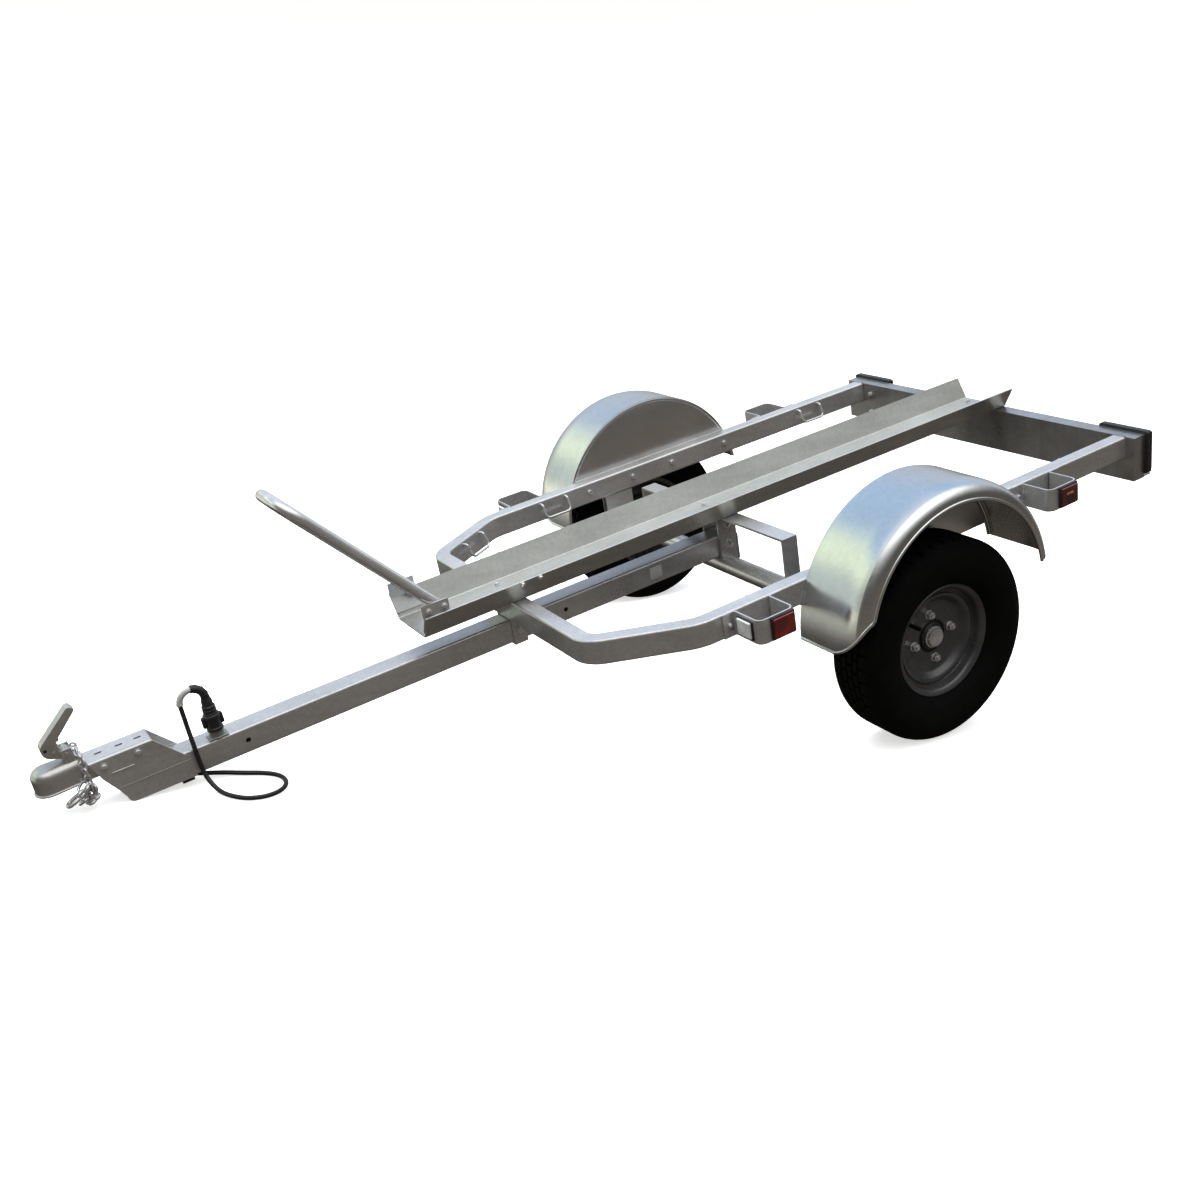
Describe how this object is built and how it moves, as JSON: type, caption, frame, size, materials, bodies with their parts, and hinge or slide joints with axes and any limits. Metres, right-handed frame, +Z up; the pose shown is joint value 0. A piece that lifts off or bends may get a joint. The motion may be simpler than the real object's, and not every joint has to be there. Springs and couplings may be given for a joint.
{
  "type": "motorcycle trailer",
  "caption": "Galvanised motorcycle trailer: flared wheel channel on a cranked tube frame, wheel hoop, rolled fenders, lamp hoops and a ball coupling on a long drawbar.",
  "frame": {"origin": "middle of the footprint, on the ground", "axes": "+X forward to the coupling, +Y to the trailer's left, +Z up; parked nose-down"},
  "size_m": [2.722, 1.42, 0.6874],
  "materials": {
    "galvanised": "hot-dip zinc",
    "bright_zinc": "bright plated",
    "rim_grey": "satin grey paint",
    "hub_black": "black paint",
    "tyre_black": "rubber",
    "lamp_black": "moulded",
    "lens_red": "clear moulded",
    "lens_amber": "clear moulded",
    "lens_white": "clear moulded",
    "cable_black": "sheathed",
    "holder_grey": "moulded"
  },
  "bodies": {
    "trailer": {"drawbar_tube": "galvanised", "drawbar_strap": "galvanised", "front_cross_tube": "galvanised", "left_corner_tube": "galvanised", "right_corner_tube": "galvanised", "left_rail_tube": "galvanised", "right_rail_tube": "galvanised", "moto_channel": "galvanised", "left_hoop_plate": "galvanised", "right_hoop_plate": "galvanised", "wheel_hoop": "galvanised", "torsion_beam": "galvanised", "beam_clamp": "galvanised", "arch_brace": "galvanised", "left_axle_seat": "galvanised", "right_axle_seat": "galvanised", "left_swing_arm": "hub_black", "right_swing_arm": "hub_black", "left_fender": "galvanised", "right_fender": "galvanised", "left_front_marker_hoop": "galvanised", "right_front_marker_hoop": "galvanised", "left_rear_marker_hoop": "galvanised", "right_rear_marker_hoop": "galvanised", "left_front_white_lens": "lens_white", "right_front_white_lens": "lens_white", "left_front_red_lens": "lens_red", "right_front_red_lens": "lens_red", "left_rear_amber_lens": "lens_amber", "right_rear_amber_lens": "lens_amber", "rear_member": "galvanised", "left_tail_lamp": "lamp_black", "right_tail_lamp": "lamp_black", "left_tail_lens": "lens_red", "right_tail_lens": "lens_red", "left_tie_loops": "bright_zinc", "right_tie_loops": "bright_zinc", "nose_bracket": "galvanised", "coupling_head": "galvanised", "safety_chain": "bright_zinc", "plug_holder": "holder_grey", "plug": "lamp_black", "cable_gland": "lamp_black", "cable": "cable_black"},
    "left_wheel": {"left_tyre": "tyre_black", "left_rim": "rim_grey", "left_hub": "hub_black"},
    "right_wheel": {"right_tyre": "tyre_black", "right_rim": "rim_grey", "right_hub": "hub_black"},
    "handle": {"coupling_handle": "galvanised"}
  },
  "joints": [
    {"name": "left_wheel_spin", "type": "hinge", "parent": "trailer", "child": "left_wheel", "pos_m": [-0.51517, 0.606, 0.245], "axis": [0, 1, 0], "continuous": true},
    {"name": "right_wheel_spin", "type": "hinge", "parent": "trailer", "child": "right_wheel", "pos_m": [-0.51517, -0.606, 0.245], "axis": [0, 1, 0], "continuous": true},
    {"name": "handle_close", "type": "hinge", "parent": "trailer", "child": "handle", "pos_m": [1.28855, 0, 0.13013], "axis": [0, -1, 0], "range_deg": [0, 55]}
  ]
}
